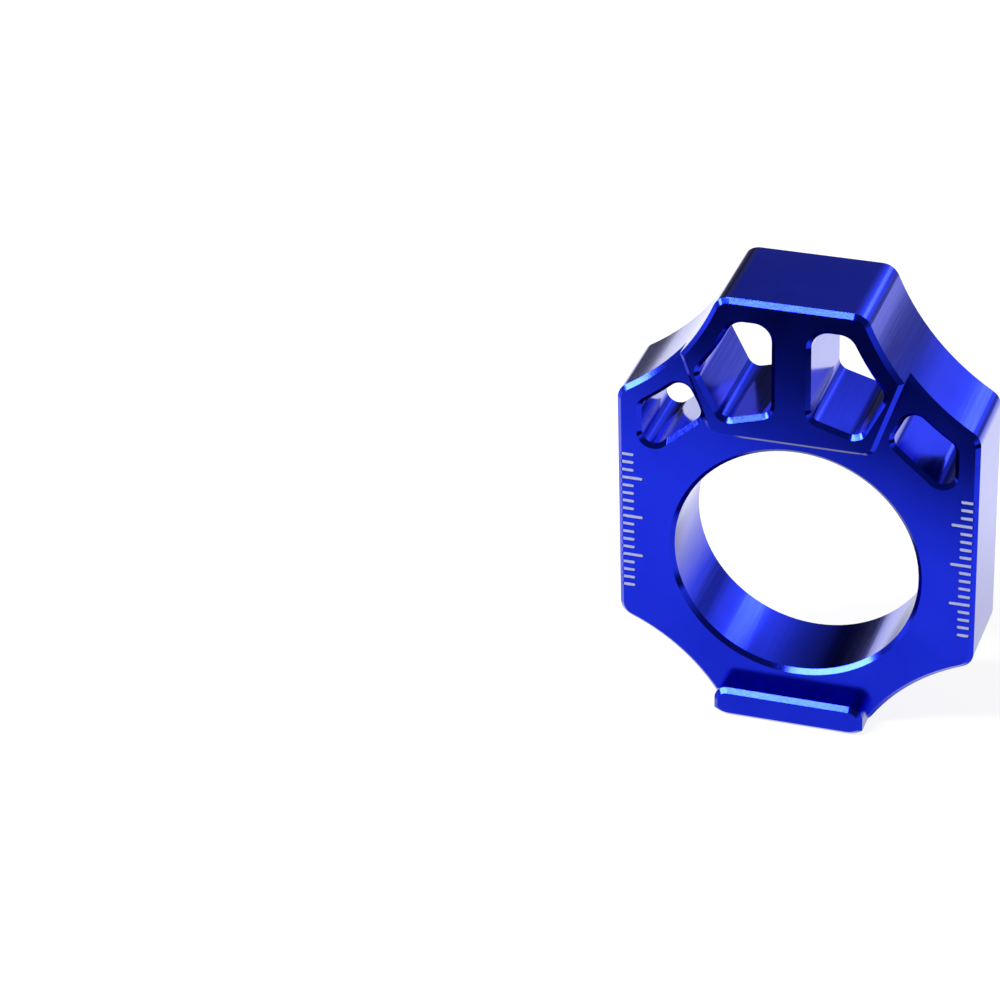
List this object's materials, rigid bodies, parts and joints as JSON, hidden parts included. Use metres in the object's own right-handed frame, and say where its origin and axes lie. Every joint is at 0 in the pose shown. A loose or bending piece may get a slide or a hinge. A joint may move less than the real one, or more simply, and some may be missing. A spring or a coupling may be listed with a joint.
{
  "type": "motorcycle chain adjuster axle block",
  "caption": "Machined aluminium axle block of a motorcycle chain adjuster: axle bore, guide flats, head seat between raised platform and rib, weight-saving pockets and graduations.",
  "frame": {"origin": "on the axle bore's axis, halfway through the plate between the guide flats", "axes": "+Z along the swingarm slot towards the adjuster end, X across the guide flats, -Y out of the front where the axle's head lies"},
  "size_m": [0.0408, 0.0132, 0.0535],
  "materials": {
    "blue_anodised_aluminium": "satin"
  },
  "bodies": {
    "root": {"axle_block": "blue_anodised_aluminium"}
  },
  "joints": []
}
